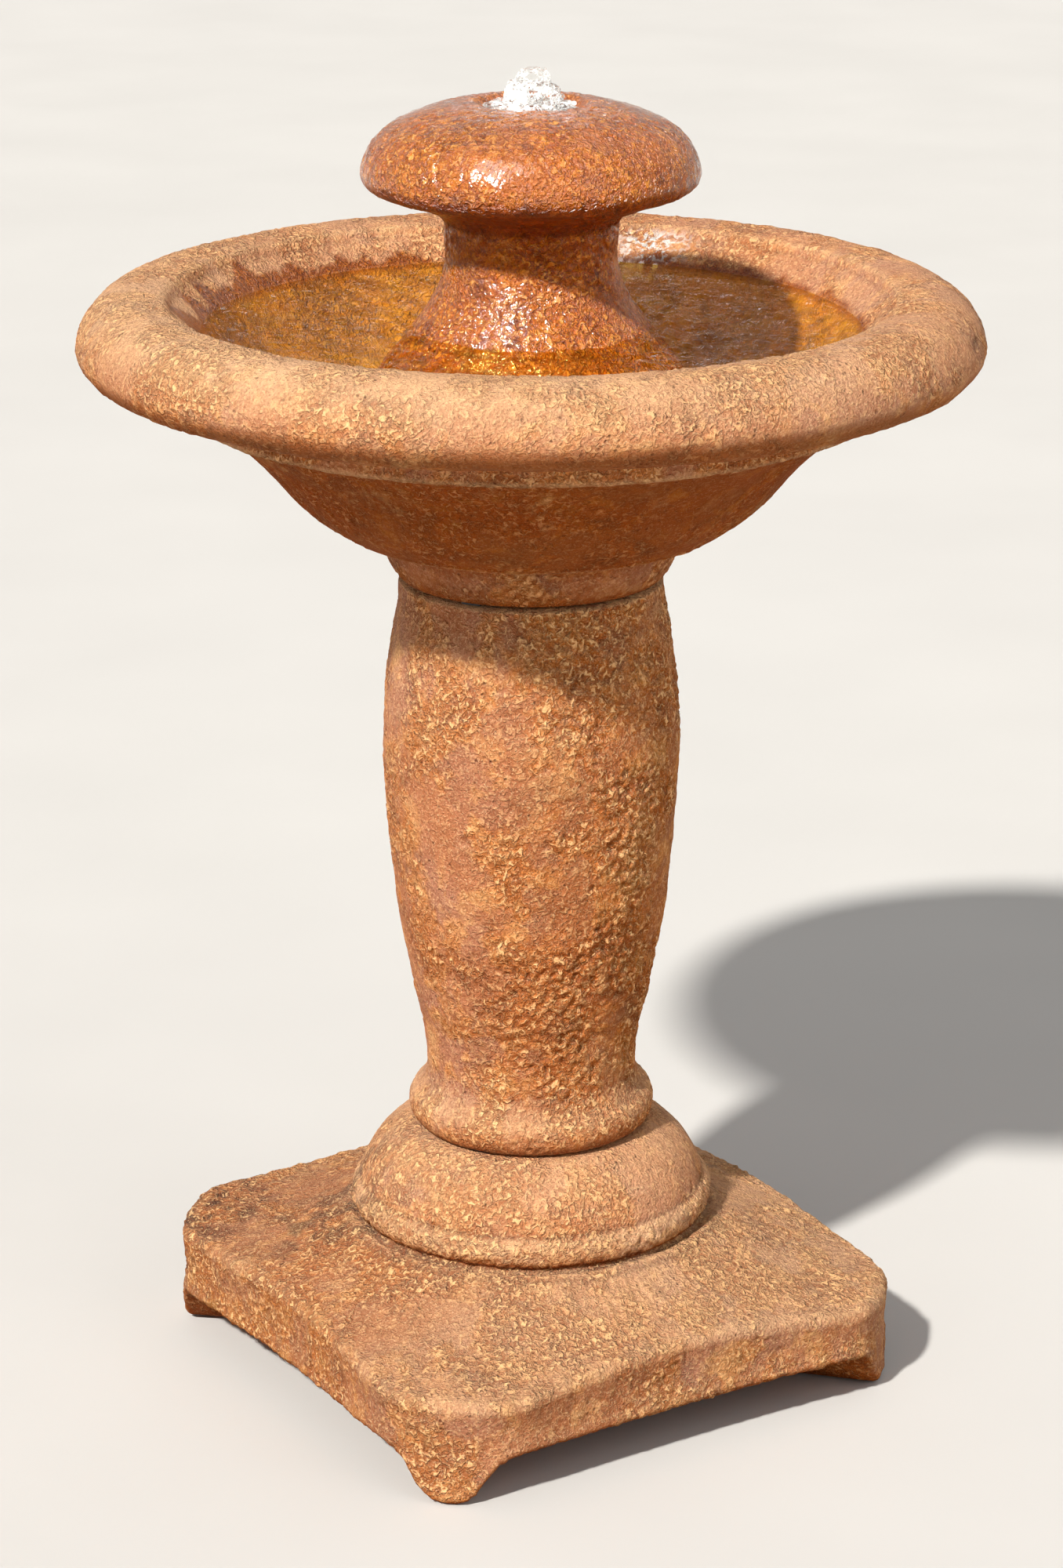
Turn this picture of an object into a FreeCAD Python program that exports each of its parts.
import FreeCAD, Part
import Sketcher
import math
import os

from FreeCAD import Placement, Rotation, Vector

# Garden bubbler fountain in cast stone with its submersible pump, cord and plug.
# Millimetres, +Z up, origin on the ground at the middle of the plinth.
# The square plinth has its sides along X and Y.  The pump's motor axis is along X,
# its intake at the +X end, and its outlet stands on the fountain's vertical axis.

doc = FreeCAD.newDocument("bubbler_fountain")
sheet = doc.addObject("Spreadsheet::Sheet", "sizes")
VALUE = {}   # alias: number in the sheet
PIECES = []  # objects to export, each under its label

SMALLEST_CHANGE = 1e-6  # mm3; a feature that changes less than this has missed
ALONG_X = Rotation(Vector(0, 1, 0), 90)        # turns +Z to +X
ALONG_MINUS_Y = Rotation(Vector(1, 0, 0), 90)  # turns +Z to -Y


def cell(alias, value, note=""):
    """Write one named size, a number or a formula in earlier aliases; return its alias."""
    if alias in VALUE:
        if abs(VALUE[alias] - value) > 1e-9:
            raise ValueError("size stated twice: " + alias)
        return alias
    is_formula = isinstance(value, str)
    row = str(len(VALUE) + 1)
    sheet.set("A" + row, alias.replace("_", " "))
    sheet.set("B" + row, "=" + value if is_formula else repr(round(float(value), 5)))
    sheet.setAlias("B" + row, alias)
    if note:
        sheet.set("C" + row, note)
    if is_formula:
        doc.recompute()
        value = sheet.get(alias)
    VALUE[alias] = float(value)
    return alias


def val(alias):
    return VALUE[alias]


# ------------------------------------------------------------ driving sizes
# alias, number or formula, note
for size in [
    ("plinth_half_width", 198.0, "half the width across the flats"),
    ("plinth_corner_cut", 51.0, "length of the corner chamfer along each side"),
    ("plinth_corner_start", "plinth_half_width - plinth_corner_cut", "start of the chamfer"),
    ("plinth_block_top", 112.0, "height of the block where it meets the dome"),
    ("plinth_top", 172.0, "top of the dome, under the pedestal"),
    ("plinth_bore_rad", 48.0, "cord way through the plinth"),
    ("plinth_bore_long", 200.0, ""),
    ("plinth_recess_half", 128.0, "half width of the recess under the plinth"),
    ("plinth_recess_top", 58.0, "ceiling of that recess"),
    ("arch_half_span", 156.0, "opening between two feet at the ground, half its width"),
    ("arch_flat_half", 133.0, "half the straight part of its soffit"),
    ("arch_rise", 33.0, "height of that soffit"),
    ("arch_through", 500.0, "length of the arch cut, more than the plinth's width"),

    ("shim_thick", 2.0, "levelling shim"),
    ("shim_wide", 13.0, "across the radius"),
    ("shim_deep", 20.0, "along the radius"),
    ("lower_shim_ring", 53.0, "radius to the inner end of each shim"),
    ("upper_shim_ring", 63.0, ""),
    ("pedestal_bottom", "plinth_top + shim_thick", ""),
    ("pedestal_top", 554.0, ""),
    ("pedestal_bore_rad", 46.0, "hollow up the pedestal"),

    ("bowl_bottom", "pedestal_top + shim_thick", ""),
    ("bowl_floor", 632.0, "inside floor of the bowl"),
    ("bowl_core_rad", 60.0, "recess under the bowl"),
    ("bowl_core_top", 598.0, "ceiling of that recess"),
    ("stopper_hole_rad", 12.0, ""),
    ("stopper_hole_deep", 60.0, ""),
    ("stopper_pos_x", -15.0, ""),
    ("stopper_pos_y", 40.0, ""),
    ("stopper_rad", 11.95, "running fit in its hole"),
    ("notch_through", 260.0, "length of the notch cut through the finial's foot"),

    ("pipe_outer_rad", 6.35, "copper tube, half inch"),
    ("pipe_inner_rad", 5.55, ""),
    ("pipe_bottom", 728.0, ""),
    ("pipe_top", 860.0, ""),
    ("pipe_hole_rad", 6.45, "hole cast in the finial"),
    ("hose_inner_rad", 6.4, ""),
    ("hose_outer_rad", 8.2, ""),
    ("hose_bottom", 698.6, ""),
    ("hose_top", 746.0, ""),
    ("clamp_inner", 8.22, "radius"),
    ("clamp_outer", 9.0, "radius"),
    ("clamp_low", 733.0, ""),
    ("clamp_wide", 8.0, "height of the band"),
    ("clamp_screw_x", 11.3, "axis of the clamp screw, which lies along Y"),
    ("clamp_screw_high", "clamp_low + clamp_wide / 2", ""),

    ("motor_half_width", 22.5, ""),
    ("motor_front", -9.0, "joint with the volute"),
    ("motor_back", -59.0, ""),
    ("motor_length", "motor_front - motor_back", ""),
    ("motor_above", 14.0, "motor block above the shaft"),
    ("motor_below", 34.0, "motor block below the shaft"),
    ("motor_wall", 2.3, ""),
    ("cavity_half_width", "motor_half_width - motor_wall", ""),
    ("cavity_above", "motor_above - motor_wall", ""),
    ("cavity_below", "motor_below - motor_wall", ""),
    ("cavity_long", "motor_length - 3", ""),
    ("fill_gap", 0.05, "between the cavity and the resin or rear cover"),
    ("fill_half_width", "cavity_half_width - fill_gap", ""),
    ("fill_width", "2 * fill_half_width", ""),
    ("fill_below", "cavity_below - fill_gap", ""),
    ("fill_high", "cavity_above + cavity_below - 2 * fill_gap", ""),
    ("can_inner_rad", 7.2, ""),
    ("can_outer_rad", 8.4, ""),
    ("foot_socket_rad", 2.55, ""),
    ("foot_socket_deep", 2.0, ""),
    ("foot_back_x", -50.0, ""),
    ("foot_front_x", -18.0, ""),
    ("foot_side_y", 15.0, ""),
    ("cup_stand", 8.0, "height of a suction cup under the motor"),
    ("pump_axis_high", "bowl_floor + cup_stand + motor_below", "height of the motor axis"),

    ("cord_rad", 3.0, ""),
    ("cord_hole_rad", 3.06, ""),
    ("shaft_rad", 1.5, "ceramic shaft"),
    ("rotor_bore_rad", 1.55, "runs on the shaft"),
    ("magnet_rad", 6.6, ""),
    ("impeller_rad", 12.0, ""),
    ("blade_thick", 1.4, ""),
    ("blade_count", 6, ""),
    ("volute_rad", 20.0, ""),
    ("volute_front", 9.0, ""),
    ("boss_rad", 8.8, "outlet boss on top of the volute"),
    ("boss_bottom", 15.0, "above the motor axis"),
    ("boss_length", 7.0, ""),
    ("outlet_hole_rad", 6.5, ""),
    ("outlet_hole_bottom", 10.0, "above the motor axis"),
    ("outlet_hole_long", 20.0, ""),
    ("spoke_thick", 2.0, ""),
    ("spoke_count", 3, ""),
    ("strainer_front", 31.4, ""),
    ("slot_wide", 2.2, ""),
    ("slot_count", 20, ""),
    ("port_rad", 3.1, "ports in the strainer's front and in the dial"),
    ("port_ring", 8.2, "radius of the ring of ports"),
    ("port_count", 6, ""),
    ("port_deep", 12.0, ""),
    ("strainer_port_start", 25.0, "x where the cut starts"),
    ("dial_port_start", 30.0, "x where the cut starts"),
    ("dial_rad", 14.0, ""),
    ("grip_start", 34.0, "x of the grip's root"),
    ("grip_high", 3.6, ""),

    ("plug_back", 131.5, ""),
    ("plug_front", 166.0, ""),
    ("plug_wide", 26.0, ""),
    ("plug_across", 262.0, "y of the plug's middle"),
    ("plug_blade_offset", 6.35, "each blade from the plug's middle"),
    ("blade_pocket_deep", 12.0, ""),
    ("prong_back", 154.1, "buried end of the blades and the pin"),
    ("pin_high", 20.5, "height of the ground pin"),
    ("pin_pocket_rad", 2.39, ""),
]:
    cell(*size)


# ------------------------------------------------------------ sketches
def resolve(value, alias=None):
    """Number and expression for a value: an alias, "-alias" or a number.
    A number other than 0 is written to the sheet if it is given an alias."""
    if isinstance(value, str):
        sign = "-" if value.startswith("-") else ""
        name = value.lstrip("-")
        return (-val(name) if sign else val(name)), sign + "sizes." + name
    if alias and value:
        return float(value), "sizes." + cell(alias, value)
    return float(value), None


def new_body(name):
    return doc.addObject("PartDesign::Body", name)


def new_sketch(body, name, role="XZ_Plane", offset=None):
    """Empty sketch on an origin plane, or parallel to it at a named offset."""
    sketch = body.newObject("Sketcher::SketchObject", name)
    plane = next(item for item in body.Origin.OriginFeatures if item.Role == role)
    sketch.AttachmentSupport = [(plane, "")]
    sketch.MapMode = "FlatFace"
    if offset:
        number, expression = resolve(offset)
        sketch.AttachmentOffset = Placement(Vector(0, 0, number), Rotation())
        sketch.setExpression("AttachmentOffset.Base.z", expression)
    return sketch


def fix_point(sketch, geometry, vertex, place):
    """Hold a vertex at place, which is (number, expression) for x and for y."""
    rules = (("DistanceX", -2), ("DistanceY", -1))
    for (kind, zero_axis), (number, expression) in zip(rules, place):
        if number == 0:
            sketch.addConstraint(
                Sketcher.Constraint("PointOnObject", geometry, vertex, zero_axis))
            continue
        index = sketch.addConstraint(
            Sketcher.Constraint(kind, -1, 1, geometry, vertex, number))
        if expression:
            sketch.setExpression("Constraints[%d]" % index, expression)


def fix_radius(sketch, geometry, alias):
    index = sketch.addConstraint(Sketcher.Constraint("Radius", geometry, val(alias)))
    sketch.setExpression("Constraints[%d]" % index, "sizes." + alias)


def add_arc(sketch, start, via, end):
    """Arc through three points; returns (geometry, start vertex, end vertex, radius)."""
    start, via, end = (Vector(x, y, 0) for x, y in (start, via, end))
    through = Part.Circle(start, via, end)
    centre, radius = through.Center, through.Radius
    circle = Part.Circle(centre, Vector(0, 0, 1), radius)
    first = math.atan2(start.y - centre.y, start.x - centre.x)
    last = math.atan2(end.y - centre.y, end.x - centre.x)
    # a sketch arc always runs counter-clockwise
    if (via - start).cross(end - via).z > 0:
        return sketch.addGeometry(Part.ArcOfCircle(circle, first, last), False), 1, 2, radius
    return sketch.addGeometry(Part.ArcOfCircle(circle, last, first), False), 2, 1, radius


def rectangle_corners(prefix, sides):
    """Corners of the rectangle (left, bottom, right, top), one cell for each number."""
    named = [side if isinstance(side, str) or side == 0 else cell(prefix + "_" + edge, side)
             for edge, side in zip(("left", "bottom", "right", "top"), sides)]
    left, bottom, right, top = named
    return [("corner", x, y)
            for x, y in ((left, bottom), (right, bottom), (right, top), (left, top))]


def outline(sketch, prefix, profile):
    """Closed, fully constrained outline.  profile is a tuple (left, bottom, right, top)
    for a rectangle, or a list of corners (tag, x, y[, (via x, via y)]), where "via" is a
    point on the arc that leads to the next corner.  x and y are numbers, each of which
    becomes a cell named after prefix and tag, or the names of cells."""
    if isinstance(profile, tuple):
        profile = rectangle_corners(prefix, profile)
    places = [(resolve(x, "%s_%s_across" % (prefix, tag)), resolve(y, "%s_%s_up" % (prefix, tag)))
              for tag, x, y, *via in profile]
    points = [(x[0], y[0]) for x, y in places]
    edges = []  # (geometry, start vertex, end vertex, arc radius or None)
    for (tag, x, y, *via), start, end in zip(profile, points, points[1:] + points[:1]):
        if via:
            edges.append(add_arc(sketch, start, via[0], end))
        else:
            line = Part.LineSegment(Vector(*start, 0), Vector(*end, 0))
            edges.append((sketch.addGeometry(line, False), 1, 2, None))
    for edge, following in zip(edges, edges[1:] + edges[:1]):
        sketch.addConstraint(
            Sketcher.Constraint("Coincident", edge[0], edge[2], following[0], following[1]))
    for corner, place, (geometry, start, end, radius) in zip(profile, places, edges):
        fix_point(sketch, geometry, start, place)
        if radius is not None:
            fix_radius(sketch, geometry, cell("%s_%s_arc" % (prefix, corner[0]), radius))


def add_circle(sketch, x, y, radius_alias):
    """Circle with its centre at 0 or at a named place."""
    place = resolve(x), resolve(y)
    centre = Vector(place[0][0], place[1][0], 0)
    geometry = sketch.addGeometry(
        Part.Circle(centre, Vector(0, 0, 1), val(radius_alias)), False)
    fix_radius(sketch, geometry, radius_alias)
    fix_point(sketch, geometry, 3, place)


# ------------------------------------------------------------ body features
def volume(body):
    doc.recompute()
    return body.Shape.Volume if body.Tip is not None else 0.0


def check_change(body, feature, before):
    if abs(volume(body) - before) < SMALLEST_CHANGE:
        raise RuntimeError(feature.Name + " changed nothing")
    return feature


def revolve(body, name, profile, axis="V_Axis", kind="Revolution"):
    """Full turn, added or (kind "Groove") cut, of a profile in the XZ plane."""
    sketch = new_sketch(body, name + "_sketch")
    outline(sketch, name, profile)
    before = volume(body)
    feature = body.newObject("PartDesign::" + kind, name)
    feature.Profile = sketch
    feature.ReferenceAxis = (sketch, [axis])
    feature.Angle = 360.0
    return check_change(body, feature, before)


def extrude(kind, body, name, sketch, length_alias, reverse, middle):
    before = volume(body)
    feature = body.newObject("PartDesign::" + kind, name)
    feature.Profile = sketch
    feature.Type = "Length"
    feature.setExpression("Length", "sizes." + length_alias)
    feature.Length = val(length_alias)
    feature.Reversed = reverse
    if middle:
        feature.SideType = "Symmetric"
    return check_change(body, feature, before)


def pad(body, name, sketch, length_alias, reverse=False, middle=False):
    return extrude("Pad", body, name, sketch, length_alias, reverse, middle)


def pocket(body, name, sketch, length_alias, reverse=False, middle=False):
    return extrude("Pocket", body, name, sketch, length_alias, reverse, middle)


def repeat_round_x(body, name, original, count_alias, axis_sketch):
    """Copies of a feature spread evenly about the body's X axis."""
    before = volume(body)
    feature = body.newObject("PartDesign::PolarPattern", name)
    feature.Originals = [original]
    feature.Axis = (axis_sketch, ["H_Axis"])
    feature.Angle = 360.0
    feature.Occurrences = int(val(count_alias))
    feature.setExpression("Occurrences", "sizes." + count_alias)
    body.Tip = feature
    check_change(body, feature, before)


# ------------------------------------------------------------ placing, primitives, booleans
def put(obj, x=0.0, y=0.0, z=0.0, rotation=None):
    """Place an object; x, y and z are numbers or names of cells."""
    place = [resolve(value) for value in (x, y, z)]
    obj.Placement = Placement(Vector(*[number for number, _ in place]), rotation or Rotation())
    for axis, (_, expression) in zip("xyz", place):
        if expression:
            obj.setExpression("Placement.Base." + axis, expression)
    return obj


def on_axis(obj):
    """Lift a pump piece, built with the motor axis on X, to its height."""
    return put(obj, z="pump_axis_high")


def keep(obj):
    PIECES.append(obj)


def prim(kind, name, place=(0.0, 0.0, 0.0), rotation=None, **sizes):
    """A Part primitive; its sizes are numbers or names of cells."""
    solid = doc.addObject("Part::" + kind, name)
    for prop, size in sizes.items():
        number, expression = resolve(size)
        setattr(solid, prop, number)
        if expression:
            solid.setExpression(prop, expression)
    return put(solid, *place, rotation)


def box(name, corner, size):
    """Box from its lowest corner (x, y, z) and its size along X, Y and Z."""
    length, width, height = size
    return prim("Box", name, corner, Length=length, Width=width, Height=height)


def cut(name, base, tool):
    result = doc.addObject("Part::Cut", name)
    result.Base, result.Tool = base, tool
    doc.recompute()
    return result


def fuse(name, parts):
    result = doc.addObject("Part::MultiFuse", name)
    result.Shapes = parts
    doc.recompute()
    return result


def turned(name, profile, axis="V_Axis"):
    body = new_body(name)
    revolve(body, name + "_turning", profile, axis)
    return body


# ------------------------------------------------------------ cast stone
def build_plinth():
    plinth = new_body("base_plinth")
    start, side = "plinth_corner_start", "plinth_half_width"
    corners = [
        (start, "-" + side), (side, "-" + start), (side, start), (start, side),
        ("-" + start, side), ("-" + side, start), ("-" + side, "-" + start),
        ("-" + start, "-" + side)]
    sketch = new_sketch(plinth, "plinth_plan", "XY_Plane")
    outline(sketch, "plinth", [("corner", x, y) for x, y in corners])
    pad(plinth, "plinth_block", sketch, "plinth_block_top")

    # the top falls away from the dome to the sides, and lower still to the corners
    weathering = [
        ("inner", 118.0, 112.5), ("foot", 118.0, 110.0, (160.0, 91.5)), ("tip", 248.0, 71.5),
        ("out", 330.0, 60.0), ("far", 330.0, 140.0), ("above", 118.0, 140.0)]
    revolve(plinth, "plinth_weathering", weathering, kind="Groove")

    # the round dome that carries the pedestal, with a rolled lip at its foot
    dome = [
        ("core_low", 60.0, 90.0), ("skirt", 116.5, 90.0),
        ("lip_low", 116.5, 109.0, (122.0, 120.0)), ("lip_high", 116.5, 131.5, (104.0, 156.0)),
        ("crown", 81.0, "plinth_top"), ("core_high", 60.0, "plinth_top")]
    revolve(plinth, "plinth_dome", dome)

    half = "plinth_recess_half"
    sketch = new_sketch(plinth, "plinth_recess_plan", "XY_Plane")
    outline(sketch, "recess", ("-" + half, "-" + half, half, half))
    pocket(plinth, "plinth_recess", sketch, "plinth_recess_top", reverse=True)

    # one arch along each horizontal axis leaves a foot at each corner
    arch = [
        ("left", "-arch_half_span", 0.0, (-148.0, 23.0)),
        ("left_high", "-arch_flat_half", "arch_rise"),
        ("right_high", "arch_flat_half", "arch_rise", (148.0, 23.0)),
        ("right", "arch_half_span", 0.0)]
    for tag, role in (("side", "XZ_Plane"), ("end", "YZ_Plane")):
        sketch = new_sketch(plinth, "arch_" + tag, role)
        outline(sketch, "arch", arch)
        pocket(plinth, "plinth_arch_" + tag, sketch, "arch_through", middle=True)

    sketch = new_sketch(plinth, "plinth_bore_plan", "XY_Plane")
    add_circle(sketch, 0, 0, "plinth_bore_rad")
    pocket(plinth, "plinth_bore", sketch, "plinth_bore_long", reverse=True)
    keep(plinth)


def build_shims(name, ring_alias, z_alias):
    """Three radial shims, the first towards +Y."""
    shims = []
    half_wide = val("shim_wide") / 2.0
    for i in range(3):
        degrees = 90 + 120 * i
        cosine, sine = math.cos(math.radians(degrees)), math.sin(math.radians(degrees))
        shims.append(prim(
            "Box", "%s_%d" % (name, i + 1),
            (val(ring_alias) * cosine + half_wide * sine,
             val(ring_alias) * sine - half_wide * cosine, z_alias),
            Rotation(Vector(0, 0, 1), degrees),
            Length="shim_deep", Width="shim_wide", Height="shim_thick"))
    keep(fuse(name, shims))


def build_pedestal():
    profile = [
        ("bore_low", "pedestal_bore_rad", "pedestal_bottom"),
        ("foot", 77.0, "pedestal_bottom", (82.7, 184.5)), ("roll", 79.6, 196.0, (73.0, 203.5)),
        ("waist", 70.5, 214.0, (72.2, 237.0)), ("hip", 78.0, 263.0),
        ("thigh", 88.1, 318.0, (94.3, 374.0)), ("belly", 97.8, 438.0, (95.2, 488.0)),
        ("chest", 88.8, 528.0, (87.0, 541.0)), ("neck", 86.5, "pedestal_top"),
        ("bore_high", "pedestal_bore_rad", "pedestal_top")]
    keep(turned("pedestal", profile))


def build_bowl():
    profile = [
        ("core_mid", 0.0, "bowl_core_top"), ("core_edge", "bowl_core_rad", "bowl_core_top"),
        ("foot_in", "bowl_core_rad", "bowl_bottom"), ("foot_out", 86.3, "bowl_bottom", (91.6, 564.0)),
        ("collar", 95.6, 573.0, (98.2, 579.5)), ("collar_top", 101.5, 585.0),
        ("belly_in", 118.5, 587.6, (122.3, 588.2)), ("belly_edge", 125.0, 590.4, (148.5, 606.5)),
        ("belly", 169.0, 629.0, (188.5, 649.5)), ("belly_top", 209.0, 667.0),
        ("band_in", 222.0, 669.6), ("band_low", 225.5, 671.0), ("band_high", 226.0, 687.0),
        ("soffit_in", 231.0, 690.5), ("soffit_out", 266.0, 692.5, (286.0, 699.5)),
        ("equator", 292.0, 712.0, (280.0, 734.5)), ("crown", 252.0, 744.0),
        ("crest", 237.5, 742.0, (233.6, 740.0)), ("lip", 232.0, 736.0, (214.5, 721.5)),
        ("water", 200.0, 700.0, (168.0, 662.5)), ("heel", 125.0, 638.0),
        ("floor_edge", 113.0, "bowl_floor"), ("floor_mid", 0.0, "bowl_floor")]
    bowl = turned("bowl", profile)
    sketch = new_sketch(bowl, "stopper_hole_plan", "XY_Plane", "bowl_floor")
    add_circle(sketch, "stopper_pos_x", "stopper_pos_y", "stopper_hole_rad")
    pocket(bowl, "stopper_hole", sketch, "stopper_hole_deep")
    keep(bowl)


def build_finial():
    profile = [
        ("cap_hole_top", "pipe_hole_rad", 857.5), ("dish", 29.0, 857.5),
        ("dish_edge", 36.0, 864.0, (64.0, 859.3)), ("shoulder", 86.5, 850.3, (101.0, 838.5)),
        ("equator", 108.4, 821.0, (106.3, 813.5)), ("keel", 97.0, 808.0, (79.0, 802.0)),
        ("under", 62.0, 795.5), ("neck_top", 56.0, 789.0), ("neck_mid", 55.2, 770.0, (60.5, 744.5)),
        ("flare_mid", 72.5, 725.5), ("flare_low", 86.5, 706.0, (97.5, 692.0)),
        ("skirt", 103.5, 672.0, (107.6, 650.0)), ("foot_out", 109.0, "bowl_floor"),
        ("foot_in", 90.0, "bowl_floor"), ("cavity_low", 90.0, 672.0),
        ("cavity_mid", 70.0, 699.0), ("cavity_high", 45.0, 727.0), ("throat", 37.0, 746.0),
        ("throat_top", 37.0, 785.0), ("seat_low", 10.0, 785.0), ("seat_top", 10.0, 797.0),
        ("hole_low", "pipe_hole_rad", 797.0)]
    finial = turned("finial", profile)
    # round-topped water inlets through the foot, along Y and along X
    notch = [
        ("left_low", -14.0, 625.0), ("right_low", 14.0, 625.0),
        ("right_high", 14.0, 640.0, (0.0, 648.0)), ("left_high", -14.0, 640.0)]
    for sketch_name, role, name in (("inlet_notch", "XZ_Plane", "inlet_notches"),
                                    ("inlet_notch_end", "YZ_Plane", "inlet_notches_end")):
        sketch = new_sketch(finial, sketch_name, role)
        outline(sketch, "notch", notch)
        pocket(finial, name, sketch, "notch_through", middle=True)
    keep(finial)


# ------------------------------------------------------------ riser
def build_riser_tubes():
    # name, (inner radius, bottom, outer radius, top)
    for name, section in [
        ("spout_pipe", ("pipe_inner_rad", "pipe_bottom", "pipe_outer_rad", "pipe_top")),
        ("pipe_grommet", ("pipe_outer_rad", 785.2, 9.98, 796.8)),
        ("riser_hose", ("hose_inner_rad", "hose_bottom", "hose_outer_rad", "hose_top")),
    ]:
        keep(turned(name, section))


def build_hose_clamp():
    """Worm-drive band round the top of the hose, its screw housing on the +X side."""
    house_long, house_wide = 5.6, 12.0
    outer = prim("Cylinder", "clamp_band_outer", (0, 0, "clamp_low"),
                 Radius="clamp_outer", Height="clamp_wide")
    inner = prim("Cylinder", "clamp_band_inner", (0, 0, "clamp_low"),
                 Radius="clamp_inner", Height="clamp_wide")
    house = box("clamp_house", (8.0, -house_wide / 2, "clamp_low"),
                (house_long, house_wide, "clamp_wide"))
    worm_hole = prim("Cylinder", "clamp_worm_hole", ("clamp_screw_x", 7.0, "clamp_screw_high"),
                     ALONG_MINUS_Y, Radius=2.05, Height=14.0)
    blank = fuse("clamp_band_and_house", [outer, house])
    band = cut("clamp_band_open", blank, inner)
    keep(cut("hose_clamp", band, worm_hole))


def build_clamp_screw():
    head_root_y, head_high = 6.6, 3.0
    slot_long, slot_deep, slot_thick = 8.0, 1.4, 1.0
    shank = prim("Cylinder", "clamp_screw_shank",
                 ("clamp_screw_x", head_root_y, "clamp_screw_high"),
                 ALONG_MINUS_Y, Radius=2.0, Height=13.0)
    head = prim("Cylinder", "clamp_screw_head",
                ("clamp_screw_x", head_root_y + head_high, "clamp_screw_high"),
                ALONG_MINUS_Y, Radius=3.4, Height=head_high)
    slot = box("clamp_screw_slot",
               (val("clamp_screw_x") - slot_long / 2, 8.7,
                val("clamp_screw_high") - slot_thick / 2),
               (slot_long, slot_deep, slot_thick))
    keep(cut("clamp_screw", fuse("clamp_screw_blank", [shank, head]), slot))


# ------------------------------------------------------------ pump motor, motor axis on X
def build_motor_housing():
    motor = new_body("motor_housing")
    section = [
        ("low_right", 17.5, "-motor_below", (21.04, -32.54)),
        ("right_low", "motor_half_width", -29.0),
        ("right_high", "motor_half_width", 9.0, (21.04, 12.54)),
        ("high_right", 17.5, "motor_above"),
        ("high_left", -17.5, "motor_above", (-21.04, 12.54)),
        ("left_high", "-motor_half_width", 9.0),
        ("left_low", "-motor_half_width", -29.0, (-21.04, -32.54)),
        ("low_left", -17.5, "-motor_below")]
    sketch = new_sketch(motor, "motor_section", "YZ_Plane", "motor_back")
    outline(sketch, "motor", section)
    pad(motor, "motor_block", sketch, "motor_length")

    sketch = new_sketch(motor, "motor_cavity_section", "YZ_Plane", "motor_back")
    outline(sketch, "cavity",
            ("-cavity_half_width", "-cavity_below", "cavity_half_width", "cavity_above"))
    pocket(motor, "motor_cavity", sketch, "cavity_long", reverse=True)

    # closed can for the rotor, with a seat for the rear bush at its far end
    revolve(motor, "rotor_can", (-50.0, 0.0, -11.0, "can_outer_rad"), "H_Axis")
    well = [
        ("seat_end", -48.6, 0.0), ("seat_out", -48.6, 3.2), ("seat_open", -46.0, 3.2),
        ("well_end", -46.0, "can_inner_rad"), ("mouth", -8.0, "can_inner_rad"),
        ("mouth_mid", -8.0, 0.0)]
    revolve(motor, "rotor_well", well, "H_Axis", "Groove")

    sketch = new_sketch(motor, "foot_sockets_plan", "XY_Plane", "-motor_below")
    for x in ("foot_back_x", "foot_front_x"):
        for y in ("foot_side_y", "-foot_side_y"):
            add_circle(sketch, x, y, "foot_socket_rad")
    pocket(motor, "foot_sockets", sketch, "foot_socket_deep", reverse=True)
    keep(on_axis(motor))


STATOR_X = -30.0        # middle of the core and coils
CORE_LENGTH = 20.0
CORE_HALF_WIDTH = 15.0
CORE_SLOT_HALF = 7.2    # half the gap between the two legs
LEG_Y = (CORE_SLOT_HALF + CORE_HALF_WIDTH) / 2


def build_stator_core():
    """Laminated U whose two poles clasp the rotor can."""
    blank = box("core_blank", (STATOR_X - CORE_LENGTH / 2, -CORE_HALF_WIDTH, -29.5),
                (CORE_LENGTH, 2 * CORE_HALF_WIDTH, 37.5))
    slot = box("core_slot", (-41.0, -CORE_SLOT_HALF, -23.0), (22.0, 2 * CORE_SLOT_HALF, 36.0))
    bore = prim("Cylinder", "core_bore", (-42.0, 0, 0), ALONG_X, Radius=8.6, Height=24.0)
    keep(on_axis(cut("stator_core", blank, fuse("core_cutters", [slot, bore]))))


# boxes centred on each leg of the core: size along X, Y and Z, then bottom
COIL_BOXES = {
    "bobbin_flange_low": (31.0, 17.0, 1.2, -22.8),
    "bobbin_flange_high": (31.0, 17.0, 1.2, -10.6),
    "bobbin_tube": (22.4, 10.2, 13.4, -22.8),
    "bobbin_leg": (20.1, 7.85, 15.0, -23.5),
    "coil_outer": (30.4, 16.4, 10.96, -21.58),
    "coil_inner": (22.44, 10.24, 12.0, -22.0),
}


def build_coils():
    """A flanged bobbin and its winding on each leg, left at +Y and right at -Y."""
    bobbins, coils = [], []
    for side, leg_y in (("_left", LEG_Y), ("_right", -LEG_Y)):
        form = {}
        for name, (length, width, height, bottom) in COIL_BOXES.items():
            corner = (STATOR_X - length / 2, leg_y - width / 2, bottom)
            form[name] = box(name + side, corner, (length, width, height))
        blank = fuse("bobbin_blank" + side, [
            form["bobbin_flange_low"], form["bobbin_flange_high"], form["bobbin_tube"]])
        bobbins.append(cut("bobbin" + side, blank, form["bobbin_leg"]))
        coils.append(cut("coil" + side, form["coil_outer"], form["coil_inner"]))
    keep(on_axis(fuse("coil_bobbins", bobbins)))
    keep(on_axis(fuse("stator_coils", coils)))


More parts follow.
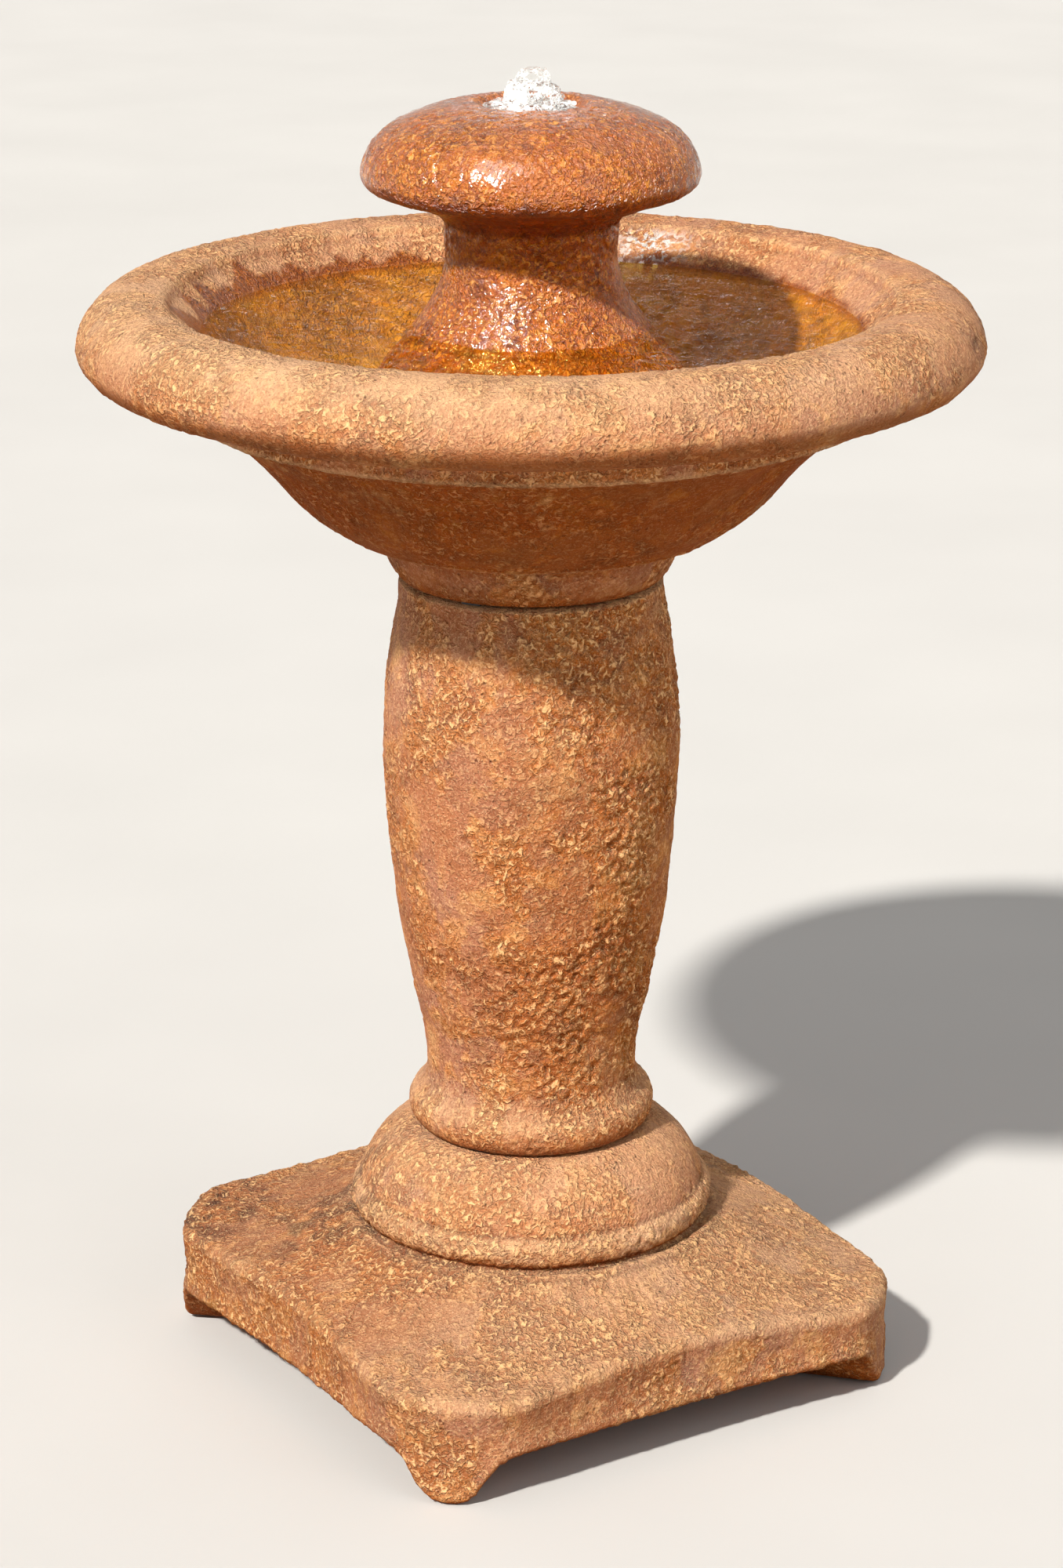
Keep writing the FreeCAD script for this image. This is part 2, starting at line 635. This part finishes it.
def build_potting_resin():
    """Cast resin round a box-shaped space that holds the stator."""
    blank = box("resin_blank", (-56.9, "-fill_half_width", "-fill_below"),
                (44.8, "fill_width", "fill_high"))
    can = prim("Cylinder", "resin_can", (-50.05, 0, 0), ALONG_X, Radius=8.42, Height=60.0)
    cord_hole = prim("Cylinder", "resin_gland_hole", (-57.0, 0, 0), ALONG_X,
                     Radius="cord_hole_rad", Height=4.0)
    stator_space = box("resin_core_space", (-45.6, -19.9, -29.55), (31.2, 40.0, 38.0))
    cutters = fuse("resin_cutters", [can, cord_hole, stator_space])
    keep(on_axis(cut("potting_resin", blank, cutters)))


def build_rear_cover():
    plate = box("rear_cover_blank", (-58.95, "-fill_half_width", "-fill_below"),
                (2.0, "fill_width", "fill_high"))
    hole = prim("Cylinder", "rear_cover_hole", (-60.0, 0, 0), ALONG_X, Radius=4.02, Height=4.0)
    keep(on_axis(cut("rear_cover", plate, hole)))


def build_turned_pump_parts():
    """Plain turnings about the motor axis: corners are (tag, x, radius),
    rectangles are (back, inner radius, front, outer radius)."""
    gland = [
        ("in_low", -58.9, "cord_hole_rad"), ("in_out", -58.9, 4.0), ("flange_in", -59.02, 4.0),
        ("flange_out", -59.02, 6.5), ("flange_back", -61.0, 6.5), ("taper", -61.0, 5.4),
        ("tail", -68.0, 4.2), ("tail_in", -68.0, "cord_hole_rad")]
    # moulded sleeve under the magnet, with a flange behind it
    sleeve = [
        ("back_in", -43.4, "rotor_bore_rad"), ("flange_back", -43.4, 4.6),
        ("flange_front", -42.02, 4.6), ("flange_root", -42.02, 2.6), ("front_out", -14.0, 2.6),
        ("front_in", -14.0, "rotor_bore_rad")]
    for name, profile in [
        ("cable_gland", gland),
        ("rotor_shaft", (-47.5, 0.0, 8.9, "shaft_rad")),
        ("rear_bush", (-48.55, "shaft_rad", -44.6, 3.18)),
        ("front_bush", (4.9, "shaft_rad", 8.9, 2.78)),
        ("rotor_magnet", (-42.0, 2.62, -14.2, "magnet_rad")),
        ("rotor_sleeve", sleeve),
        ("foam_filter", (12.0, 12.4, 28.2, 17.3)),
    ]:
        keep(on_axis(turned(name, profile, "H_Axis")))


# ------------------------------------------------------------ pump front
def build_impeller():
    """Disc and hub with straight radial blades."""
    profile = [
        ("tail_in", -13.98, "rotor_bore_rad"), ("tail_out", -13.98, 5.6),
        ("disc_root", -6.4, 5.6), ("disc_back", -6.4, "impeller_rad"),
        ("disc_front", -5.2, "impeller_rad"), ("hub_root", -5.2, 4.0), ("hub_out", 4.0, 4.0),
        ("hub_in", 4.0, "rotor_bore_rad")]
    impeller = turned("impeller", profile, "H_Axis")
    blade_profile = [
        ("back_root", -5.4, 3.6), ("front_root", 2.8, 3.6), ("shoulder", 2.8, 9.0),
        ("front_tip", 0.5, 11.9), ("back_tip", -5.4, 11.9)]
    sketch = new_sketch(impeller, "blade_section")
    outline(sketch, "blade", blade_profile)
    blade = pad(impeller, "blade", sketch, "blade_thick", middle=True)
    repeat_round_x(impeller, "blades", blade, "blade_count", sketch)
    keep(on_axis(impeller))


def build_volute():
    """Impeller chamber with a spoked inlet in front and an outlet boss on top."""
    profile = [
        ("back_in", "motor_front", 13.6), ("rim_back", "motor_front", "volute_rad"),
        ("rim_front", 8.0, "volute_rad"), ("bevel", "volute_front", 19.0),
        ("inlet_face", "volute_front", 9.0), ("inlet_back", 6.0, 9.0),
        ("chamber_front", 6.0, 13.6)]
    volute = turned("volute_casing", profile, "H_Axis")
    sketch = new_sketch(volute, "outlet_boss_plan", "XY_Plane", "boss_bottom")
    add_circle(sketch, 0, 0, "boss_rad")
    pad(volute, "outlet_boss", sketch, "boss_length")
    sketch = new_sketch(volute, "outlet_hole_plan", "XY_Plane", "outlet_hole_bottom")
    add_circle(sketch, 0, 0, "outlet_hole_rad")
    pocket(volute, "outlet_hole", sketch, "outlet_hole_long", reverse=True)
    # groove in the back face for the sealing ring
    revolve(volute, "ring_groove", (-10.0, 16.9, -7.0, 19.05), "H_Axis", "Groove")

    # spokes carry the front seat of the shaft; their hub comes last, so the
    # body may be in several solids until then
    sketch = new_sketch(volute, "spoke_section")
    outline(sketch, "spoke", (6.0, 3.6, "volute_front", 10.0))
    volute.AllowCompound = True
    spoke = pad(volute, "spoke", sketch, "spoke_thick", middle=True)
    repeat_round_x(volute, "spokes", spoke, "spoke_count", sketch)
    revolve(volute, "spider_hub", (5.2, 2.8, "volute_front", 4.8), "H_Axis")
    keep(on_axis(volute))


def build_o_ring():
    keep(prim("Torus", "housing_o_ring", (-8.02, 0, "pump_axis_high"), ALONG_X,
              Radius1=17.98, Radius2=0.95))


def build_outlet_adapter():
    """Flanged spigot from the volute's outlet into the hose."""
    profile = [
        ("bottom_in", 4.6, 13.8), ("bottom_out", 6.45, 13.8), ("flange_root", 6.45, 22.02),
        ("flange_low", 9.2, 22.02), ("flange_high", 9.2, 24.4),
        ("spigot_low", "pipe_outer_rad", 24.4), ("spigot_high", "pipe_outer_rad", 35.2),
        ("top_out", 5.6, 36.0), ("top_in", 4.6, 36.0)]
    outlet = new_body("outlet_adapter")
    revolve(outlet, "outlet_turning", profile)
    keep(on_axis(outlet))


def cut_ports(body, plan_name, start_alias, port_name, axis_name):
    """Ring of ports cut forwards from the named x."""
    sketch = new_sketch(body, plan_name, "YZ_Plane", start_alias)
    add_circle(sketch, 0, "port_ring", "port_rad")
    port = pocket(body, port_name, sketch, "port_deep", reverse=True)
    axis_sketch = new_sketch(body, axis_name)
    axis_sketch.addGeometry(Part.LineSegment(Vector(0, 0, 0), Vector(10, 0, 0)), True)
    repeat_round_x(body, port_name + "s", port, "port_count", axis_sketch)


def build_strainer():
    """Slotted cup over the volute's front; the foam ring lies inside it."""
    profile = [
        ("back_in", 9.02, 16.6), ("back_out", 9.02, "volute_rad"),
        ("shoulder", 29.6, "volute_rad", (30.9, 19.4)), ("nose", "strainer_front", 18.2),
        ("hole_front", "strainer_front", 2.45), ("hole_back", 29.2, 2.45),
        ("inside_front", 29.2, 17.6), ("inside_back", 11.5, 17.6), ("lip", 11.5, 16.6)]
    strainer = turned("intake_strainer", profile, "H_Axis")
    sketch = new_sketch(strainer, "side_slot")
    outline(sketch, "slot", (13.4, 15.0, 27.4, 24.0))
    slot = pocket(strainer, "side_slot_cut", sketch, "slot_wide", middle=True)
    repeat_round_x(strainer, "side_slots", slot, "slot_count", sketch)
    cut_ports(strainer, "port_plan", "strainer_port_start", "front_port", "port_axis")
    keep(on_axis(strainer))


def build_flow_dial():
    """Ported disc in front of the strainer, held by a headed pin through its nose."""
    profile = [
        ("pin_back", 27.4, 0.0), ("head_out", 27.4, 3.2), ("head_front", 28.9, 3.2),
        ("pin_root", 28.9, 2.39), ("disc_back_in", 31.5, 2.39), ("disc_back", 31.5, "dial_rad"),
        ("disc_rim", 33.6, "dial_rad"), ("disc_edge", 34.2, 13.4), ("hub_root", 34.2, 4.0),
        ("hub_face", 35.0, 4.0), ("hub_mid", 35.0, 0.0)]
    dial = turned("flow_dial", profile, "H_Axis")
    cut_ports(dial, "dial_port_plan", "dial_port_start", "dial_port", "dial_axis")
    sketch = new_sketch(dial, "grip_plan", "YZ_Plane", "grip_start")
    outline(sketch, "grip", (-1.3, -12.6, 1.3, 12.6))
    pad(dial, "grip", sketch, "grip_high")
    keep(on_axis(dial))


def build_suction_cups():
    """Four linked copies of one cup, standing on the bowl's floor under the motor."""
    profile = [
        ("top", 0.0, 9.8), ("stem_top", 2.5, 9.8), ("stem_low", 2.5, "cup_stand"),
        ("collar", 4.2, "cup_stand"), ("neck", 3.4, 5.4, (5.2, 3.2)), ("skirt", 8.6, 0.6),
        ("rim", 8.8, 0.0), ("rim_in", 7.6, 0.0, (5.0, 1.6)), ("hollow_edge", 1.5, 2.4),
        ("hollow", 0.0, 2.4)]
    cup = new_body("suction_cup_form")
    revolve(cup, "cup_turning", profile)
    links = []
    for x in ("foot_back_x", "foot_front_x"):
        for y in ("foot_side_y", "-foot_side_y"):
            link = doc.addObject("App::Link", "suction_cup_%d" % (len(links) + 1))
            link.LinkedObject = cup
            link.LinkTransform = False
            links.append(put(link, x, y, "bowl_floor"))
    group = doc.addObject("Part::Compound", "suction_cups")
    group.Links = links
    doc.recompute()
    keep(group)


# ------------------------------------------------------------ cord and plug
def build_stopper():
    """Rubber stopper that seals the cord's way through the bowl."""
    profile = [
        ("low_in", "cord_hole_rad", 600.0), ("low_out", 11.0, 600.0),
        ("lead", "stopper_rad", 603.0), ("neck", "stopper_rad", 632.05),
        ("flange", 14.5, 632.05), ("flange_high", 14.5, 635.0), ("top_out", 13.2, 636.4),
        ("top_in", "cord_hole_rad", 636.4)]
    stopper = new_body("cord_stopper")
    revolve(stopper, "stopper_turning", profile)
    keep(put(stopper, "stopper_pos_x", "stopper_pos_y"))


def rounded_path(stations):
    """Wire through stations (x, y, z, bend radius), with an arc at each inner one."""
    points = [Vector(*station[:3]) for station in stations]
    radii = [station[3] for station in stations[1:-1]]
    edges = []
    start = points[0]
    for previous, corner, following, radius in zip(points, points[1:], points[2:], radii):
        back = (previous - corner).normalize()
        ahead = (following - corner).normalize()
        half_angle = back.getAngle(ahead) / 2.0
        tangent = radius / math.tan(half_angle)
        bend_start = corner + back * tangent
        bend_end = corner + ahead * tangent
        inward = (back + ahead).normalize()
        bend_middle = corner + inward * (radius / math.sin(half_angle) - radius)
        if (bend_start - start).Length > 1e-6:
            edges.append(Part.LineSegment(start, bend_start).toShape())
        edges.append(Part.Arc(bend_start, bend_middle, bend_end).toShape())
        start = bend_end
    edges.append(Part.LineSegment(start, points[-1]).toShape())
    return Part.Wire(edges)


def build_cord():
    """From the gland, down through stopper, pedestal and plinth, along to the plug."""
    axis_z = val("pump_axis_high")
    stopper_x, stopper_y = val("stopper_pos_x"), val("stopper_pos_y")
    plug_y = val("plug_across")
    # x, y, z, bend radius (none at the ends)
    stations = [
        (-56.5, 0.0, axis_z, None),
        (-79.0, 0.0, axis_z, 10.0),
        (-79.0, 22.0, axis_z + 4.0, 12.0),
        (-52.0, 44.0, axis_z + 9.0, 12.0),
        (stopper_x, stopper_y, axis_z + 9.0, 14.0),
        (stopper_x, stopper_y, 586.0, 16.0),
        (2.0, 6.0, 540.0, 40.0),
        (0.0, 0.0, 120.0, 40.0),
        (0.0, 70.0, 5.0, 30.0),
        (4.0, 236.0, 4.2, 24.0),
        (60.0, plug_y, 5.5, 24.0),
        (112.0, plug_y, 14.5, 24.0),
        (131.0, plug_y, 14.5, None),
    ]
    section = Part.Circle(Vector(*stations[0][:3]), Vector(1, 0, 0), val("cord_rad"))
    sweep = rounded_path(stations).makePipeShell([Part.Wire([section.toShape()])], True, False)
    cord = doc.addObject("Part::Feature", "power_cord")
    # the sweep may come back as a closed shell
    cord.Shape = sweep if sweep.ShapeType == "Solid" else Part.Solid(sweep)
    keep(cord)


def build_plug():
    plug = new_body("plug_body")
    side = [
        ("back_low", "plug_back", 8.5), ("mid_low", 143.0, 1.2), ("front_low", "plug_front", 1.2),
        ("front_high", "plug_front", 27.0, (164.0, 28.2)),
        ("mid_high", 160.0, 28.8, (150.0, 27.6)), ("back_high", "plug_back", 20.5)]
    sketch = new_sketch(plug, "plug_side")
    outline(sketch, "plug", side)
    pad(plug, "plug_block", sketch, "plug_wide", middle=True)

    pocket_half_thick = 0.76
    sketch = new_sketch(plug, "blade_pockets", "YZ_Plane", "plug_front")
    for tag, sign in (("left", 1), ("right", -1)):
        middle = sign * val("plug_blade_offset")
        outline(sketch, "blade_pocket_" + tag,
                (middle - pocket_half_thick, 5.4, middle + pocket_half_thick, 11.75))
    add_circle(sketch, 0, "pin_high", "pin_pocket_rad")
    pocket(plug, "blade_pocket", sketch, "blade_pocket_deep")
    keep(put(plug, y="plug_across"))


def build_plug_prongs():
    """Two flat blades, and the round ground pin above them."""
    length, thick, high = 29.0, 1.5, 6.3
    blades = []
    for i, sign in enumerate((1, -1)):
        y = val("plug_across") + sign * val("plug_blade_offset") - thick / 2
        blades.append(box("plug_blade_%d" % (i + 1), ("prong_back", y, 5.42),
                          (length, thick, high)))
    keep(fuse("plug_blades", blades))
    pin = [
        ("back", "prong_back", 0.0), ("back_out", "prong_back", 2.37),
        ("front_out", 184.2, 2.37, (185.8, 1.7)), ("front", 186.4, 0.0)]
    keep(put(turned("ground_pin", pin, "H_Axis"), y="plug_across", z="pin_high"))


# ------------------------------------------------------------ build, check and write
build_plinth()
build_shims("lower_shims", "lower_shim_ring", "plinth_top")
build_shims("upper_shims", "upper_shim_ring", "pedestal_top")
build_pedestal()
build_bowl()
build_finial()
build_riser_tubes()
build_hose_clamp()
build_clamp_screw()
build_motor_housing()
build_stator_core()
build_coils()
build_potting_resin()
build_rear_cover()
build_turned_pump_parts()
build_impeller()
build_volute()
build_o_ring()
build_outlet_adapter()
build_strainer()
build_flow_dial()
build_suction_cups()
build_stopper()
build_cord()
build_plug()
build_plug_prongs()

doc.recompute()
faults = ["%s: %s" % (obj.Name, obj.State) for obj in doc.Objects
          if any(state in ("Invalid", "Error") for state in obj.State)]
for piece in PIECES:
    shape = piece.Shape
    if shape.isNull() or not shape.isValid() or not shape.Solids or shape.Volume <= 0:
        faults.append(piece.Label + ": shape is null, open or not valid")
if faults:
    raise RuntimeError("; ".join(faults))

os.makedirs("parts", exist_ok=True)
for piece in PIECES:
    piece.Shape.copy().exportStep(os.path.join("parts", piece.Label + ".step"))
